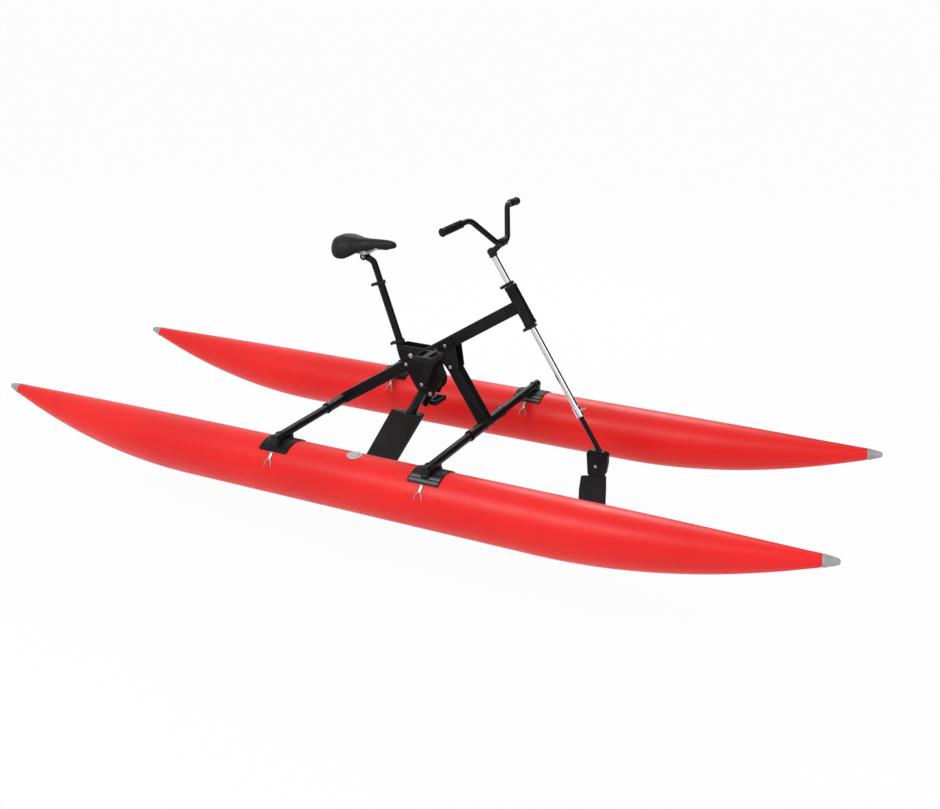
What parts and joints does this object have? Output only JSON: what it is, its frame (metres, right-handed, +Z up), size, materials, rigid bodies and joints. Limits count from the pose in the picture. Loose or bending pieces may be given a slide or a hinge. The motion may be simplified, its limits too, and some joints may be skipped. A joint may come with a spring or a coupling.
{
  "type": "water bike",
  "caption": "Pedal craft: inflated pontoons under a cycle frame with a crank-driven propeller leg and a handlebar-steered rudder.",
  "frame": {"origin": "midship on the centre plane, level with the undersides of the pontoons", "axes": "+X to the bow, +Y to port, +Z up"},
  "size_m": [3.6992, 1.1934, 1.4372],
  "materials": {
    "hull_red": "satin coated fabric skin",
    "frame_black": "satin black coat",
    "moulded_black": "moulded, matt",
    "soft_black": "soft, matt",
    "pad_grey": "ribbed, matt",
    "cone_grey": "moulded, matt",
    "valve_grey": "moulded, matt",
    "column_chrome": "polished",
    "bright_steel": "bright",
    "cast_alloy": "cast"
  },
  "bodies": {
    "frame": {"hull_port": "hull_red", "bow_cone_port": "cone_grey", "stern_cone_port": "cone_grey", "valve_port": "valve_grey", "gusset_port": "frame_black", "saddle_pad_front_port": "pad_grey", "saddle_pad_rear_port": "pad_grey", "hull_starboard": "hull_red", "bow_cone_starboard": "cone_grey", "stern_cone_starboard": "cone_grey", "valve_starboard": "valve_grey", "gusset_starboard": "frame_black", "saddle_pad_front_starboard": "pad_grey", "saddle_pad_rear_starboard": "pad_grey", "cross_tube_front": "frame_black", "cross_tube_rear": "frame_black", "main_frame": "frame_black", "down_tube": "frame_black", "stop_bolt": "bright_steel", "drive_cover": "moulded_black", "head_bush_upper": "moulded_black", "head_bush_lower": "moulded_black", "seat_collar_lower": "frame_black"},
    "mast": {"seat_mast": "frame_black", "seat_collar_upper": "frame_black"},
    "mast_lower_lever": {"seat_lever_lower": "moulded_black"},
    "mast_upper_lever": {"seat_lever_upper": "moulded_black"},
    "post": {"seatpost": "frame_black"},
    "seat": {"saddle_clamp": "cast_alloy", "saddle_rails": "bright_steel", "saddle": "soft_black"},
    "steering": {"steering_collar_upper": "frame_black", "steering_collar_lower": "frame_black"},
    "upper_steering_lever": {"steering_lever_upper": "moulded_black"},
    "lower_steering_lever": {"steering_lever_lower": "moulded_black"},
    "column": {"steering_column": "column_chrome", "stem": "moulded_black"},
    "knob": {"clamp_knob": "bright_steel"},
    "bar": {"handlebar": "frame_black", "grip_port": "soft_black", "grip_starboard": "soft_black"},
    "stock": {"rudder_stock": "frame_black"},
    "rudder": {"rudder_blade": "moulded_black"},
    "leg": {"leg_case": "frame_black", "leg_fairing": "moulded_black"},
    "crank": {"crank_axle": "bright_steel", "crank_arm_port": "frame_black", "crank_arm_starboard": "frame_black"},
    "port_pedal": {"pedal_port": "moulded_black"},
    "starboard_pedal": {"pedal_starboard": "moulded_black"},
    "shaft": {"leg_shaft": "bright_steel"},
    "screw": {"propeller": "moulded_black"},
    "port_front_outer_clip": {"clip_front_port_outer": "bright_steel"},
    "port_front_inner_clip": {"clip_front_port_inner": "bright_steel"},
    "starboard_front_outer_clip": {"clip_front_starboard_outer": "bright_steel"},
    "starboard_front_inner_clip": {"clip_front_starboard_inner": "bright_steel"},
    "port_rear_outer_clip": {"clip_rear_port_outer": "bright_steel"},
    "port_rear_inner_clip": {"clip_rear_port_inner": "bright_steel"},
    "starboard_rear_outer_clip": {"clip_rear_starboard_outer": "bright_steel"},
    "starboard_rear_inner_clip": {"clip_rear_starboard_inner": "bright_steel"}
  },
  "joints": [
    {"name": "port_front_outer_clip_swing", "type": "hinge", "parent": "frame", "child": "port_front_outer_clip", "pos_m": [0.341, 0.55669, 0.20869], "axis": [1, 0, 0], "range_deg": [0, 100]},
    {"name": "port_front_inner_clip_swing", "type": "hinge", "parent": "frame", "child": "port_front_inner_clip", "pos_m": [0.341, 0.40231, 0.20869], "axis": [-1, 0, 0], "range_deg": [0, 90]},
    {"name": "starboard_front_outer_clip_swing", "type": "hinge", "parent": "frame", "child": "starboard_front_outer_clip", "pos_m": [0.341, -0.55669, 0.20869], "axis": [-1, 0, 0], "range_deg": [0, 100]},
    {"name": "starboard_front_inner_clip_swing", "type": "hinge", "parent": "frame", "child": "starboard_front_inner_clip", "pos_m": [0.341, -0.40231, 0.20869], "axis": [1, 0, 0], "range_deg": [0, 90]},
    {"name": "port_rear_outer_clip_swing", "type": "hinge", "parent": "frame", "child": "port_rear_outer_clip", "pos_m": [-0.3425, 0.55669, 0.20869], "axis": [1, 0, 0], "range_deg": [0, 100]},
    {"name": "port_rear_inner_clip_swing", "type": "hinge", "parent": "frame", "child": "port_rear_inner_clip", "pos_m": [-0.3425, 0.40231, 0.20869], "axis": [-1, 0, 0], "range_deg": [0, 90]},
    {"name": "starboard_rear_outer_clip_swing", "type": "hinge", "parent": "frame", "child": "starboard_rear_outer_clip", "pos_m": [-0.3425, -0.55669, 0.20869], "axis": [-1, 0, 0], "range_deg": [0, 100]},
    {"name": "starboard_rear_inner_clip_swing", "type": "hinge", "parent": "frame", "child": "starboard_rear_inner_clip", "pos_m": [-0.3425, -0.40231, 0.20869], "axis": [1, 0, 0], "range_deg": [0, 90]},
    {"name": "mast_lower_lever_turn", "type": "hinge", "parent": "frame", "child": "mast_lower_lever", "pos_m": [-0.09217, -0.0158, 0.54306], "axis": [0.3313, 0, -0.9435], "range_deg": [0, 150]},
    {"name": "mast_height", "type": "slide", "parent": "frame", "child": "mast", "axis": [-0.3313, 0, 0.9435], "range_m": [-0.045, 0.05]},
    {"name": "mast_upper_lever_turn", "type": "hinge", "parent": "mast", "child": "mast_upper_lever", "pos_m": [-0.17742, -0.0158, 0.78583], "axis": [0.3313, 0, -0.9435], "range_deg": [0, 150]},
    {"name": "post_height", "type": "slide", "parent": "mast", "child": "post", "axis": [-0.3313, 0, 0.9435], "range_m": [-0.06, 0.04]},
    {"name": "saddle_tilt", "type": "hinge", "parent": "post", "child": "seat", "pos_m": [-0.21839, 0, 0.90151], "axis": [0, 1, 0], "range_deg": [-10, 10]},
    {"name": "steering_turn", "type": "hinge", "parent": "frame", "child": "steering", "pos_m": [0.4875, 0, 0.78213], "axis": [-0.5358, 0, 0.8443], "range_deg": [-60, 60]},
    {"name": "upper_steering_lever_turn", "type": "hinge", "parent": "steering", "child": "upper_steering_lever", "pos_m": [0.41243, -0.0158, 0.8463], "axis": [0.5358, 0, -0.8443], "range_deg": [0, 150]},
    {"name": "lower_steering_lever_turn", "type": "hinge", "parent": "steering", "child": "lower_steering_lever", "pos_m": [0.5136, -0.0158, 0.68689], "axis": [0.5358, 0, -0.8443], "range_deg": [0, 150]},
    {"name": "column_height", "type": "slide", "parent": "steering", "child": "column", "axis": [-0.5358, 0, 0.8443], "range_m": [-0.1, 0.25]},
    {"name": "knob_turn", "type": "hinge", "parent": "column", "child": "knob", "pos_m": [0.74336, 0, 0.37897], "axis": [0.8443, 0, 0.5358], "continuous": true},
    {"name": "bar_roll", "type": "hinge", "parent": "column", "child": "bar", "pos_m": [0.40887, 0, 1.02679], "axis": [0, 1, 0], "range_deg": [-30, 30]},
    {"name": "stock_depth", "type": "slide", "parent": "column", "child": "stock", "axis": [-0.5358, 0, 0.8443], "range_m": [-0.06, 0.1]},
    {"name": "rudder_kick", "type": "hinge", "parent": "stock", "child": "rudder", "pos_m": [0.8307, 0, 0.1636], "axis": [0, 1, 0], "range_deg": [0, 85]},
    {"name": "leg_swing", "type": "hinge", "parent": "frame", "child": "leg", "pos_m": [0.083, 0, 0.41], "axis": [0, 1, 0], "range_deg": [0, 22]},
    {"name": "crank_turn", "type": "hinge", "parent": "leg", "child": "crank", "pos_m": [0.083, 0, 0.41], "axis": [0, 1, 0], "continuous": true},
    {"name": "port_pedal_spin", "type": "hinge", "parent": "crank", "child": "port_pedal", "pos_m": [0.0167, 0.135, 0.26109], "axis": [0, 1, 0], "continuous": true},
    {"name": "starboard_pedal_spin", "type": "hinge", "parent": "crank", "child": "starboard_pedal", "pos_m": [0.1493, -0.135, 0.55891], "axis": [0, 1, 0], "continuous": true},
    {"name": "shaft_spin", "type": "hinge", "parent": "leg", "child": "shaft", "pos_m": [0.06394, 0, 0.37699], "axis": [-0.5, 0, -0.866], "continuous": true},
    {"name": "screw_spin", "type": "hinge", "parent": "leg", "child": "screw", "pos_m": [-0.2405, 0, -0.15032], "axis": [1, 0, 0], "continuous": true}
  ],
  "couplings": [
    {"joint": "shaft_spin", "follows": "crank_turn", "ratio": -3},
    {"joint": "screw_spin", "follows": "crank_turn", "ratio": -3}
  ]
}
